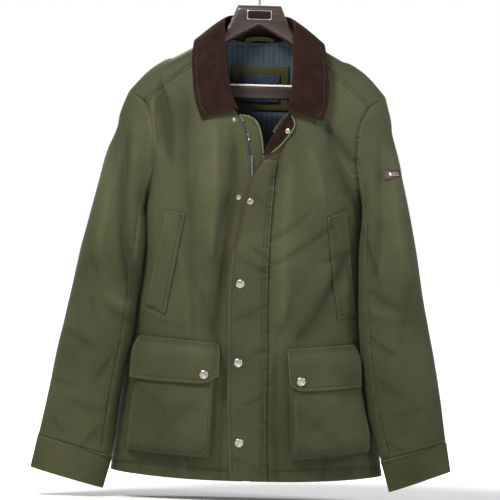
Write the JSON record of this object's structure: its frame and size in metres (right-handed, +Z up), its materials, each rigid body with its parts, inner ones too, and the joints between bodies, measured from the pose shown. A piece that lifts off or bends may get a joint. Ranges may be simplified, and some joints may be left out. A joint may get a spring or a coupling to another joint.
{
  "type": "waxed cotton jacket on hanger",
  "caption": "Hip-length waxed cotton jacket with a corduroy collar, storm flap and bellows pockets, hanging open at the neck on a dark wooden hanger.",
  "frame": {"origin": "inside the crown of the hanger's hook, where the rail touches it", "axes": "+Z up, -Y the jacket's front, +X the wearer's left"},
  "size_m": [0.7234, 0.2154, 0.9013],
  "materials": {
    "waxed_cotton": "olive green waxed cotton, dull sheen, soft creases",
    "corduroy": "dark brown needlecord",
    "lining_cotton": "woven cotton with a fine blue and navy stripe",
    "navy_tape": "woven navy tape",
    "nickel": "nickel plated brass, satin",
    "leather": "brown leather, fine grain",
    "dark_wood": "dark stained wood, satin lacquer",
    "strip_plastic": "pale ribbed non-slip strip"
  },
  "bodies": {
    "root": {"front_right": "waxed_cotton", "front_left": "waxed_cotton", "back": "waxed_cotton", "sleeve_right_top": "waxed_cotton", "sleeve_right_under": "waxed_cotton", "sleeve_left_top": "waxed_cotton", "sleeve_left_under": "waxed_cotton", "cuff_right": "waxed_cotton", "cuff_left": "waxed_cotton", "wind_guard": "waxed_cotton", "storm_flap": "waxed_cotton", "pocket_bag_right": "waxed_cotton", "pocket_bag_left": "waxed_cotton", "pocket_flap_right": "waxed_cotton", "pocket_flap_left": "waxed_cotton", "welt_right": "waxed_cotton", "welt_left": "waxed_cotton", "patch": "waxed_cotton", "hanging_loop": "waxed_cotton", "collar": "corduroy", "flap_facing": "corduroy", "lining": "lining_cotton", "zip_tape_right": "navy_tape", "zip_tape_left": "navy_tape", "label": "navy_tape", "zip_slider": "nickel", "snap_1": "nickel", "snap_2": "nickel", "snap_3": "nickel", "snap_4": "nickel", "snap_stud_top": "nickel", "snap_stud": "nickel", "snap_socket": "nickel", "snap_pocket_right": "nickel", "snap_pocket_left": "nickel", "badge_plate": "nickel", "hanger_plate": "nickel", "hanger_hook": "nickel", "badge": "leather", "hanger": "dark_wood", "hanger_bar": "dark_wood", "bar_strip": "strip_plastic"}
  },
  "joints": []
}
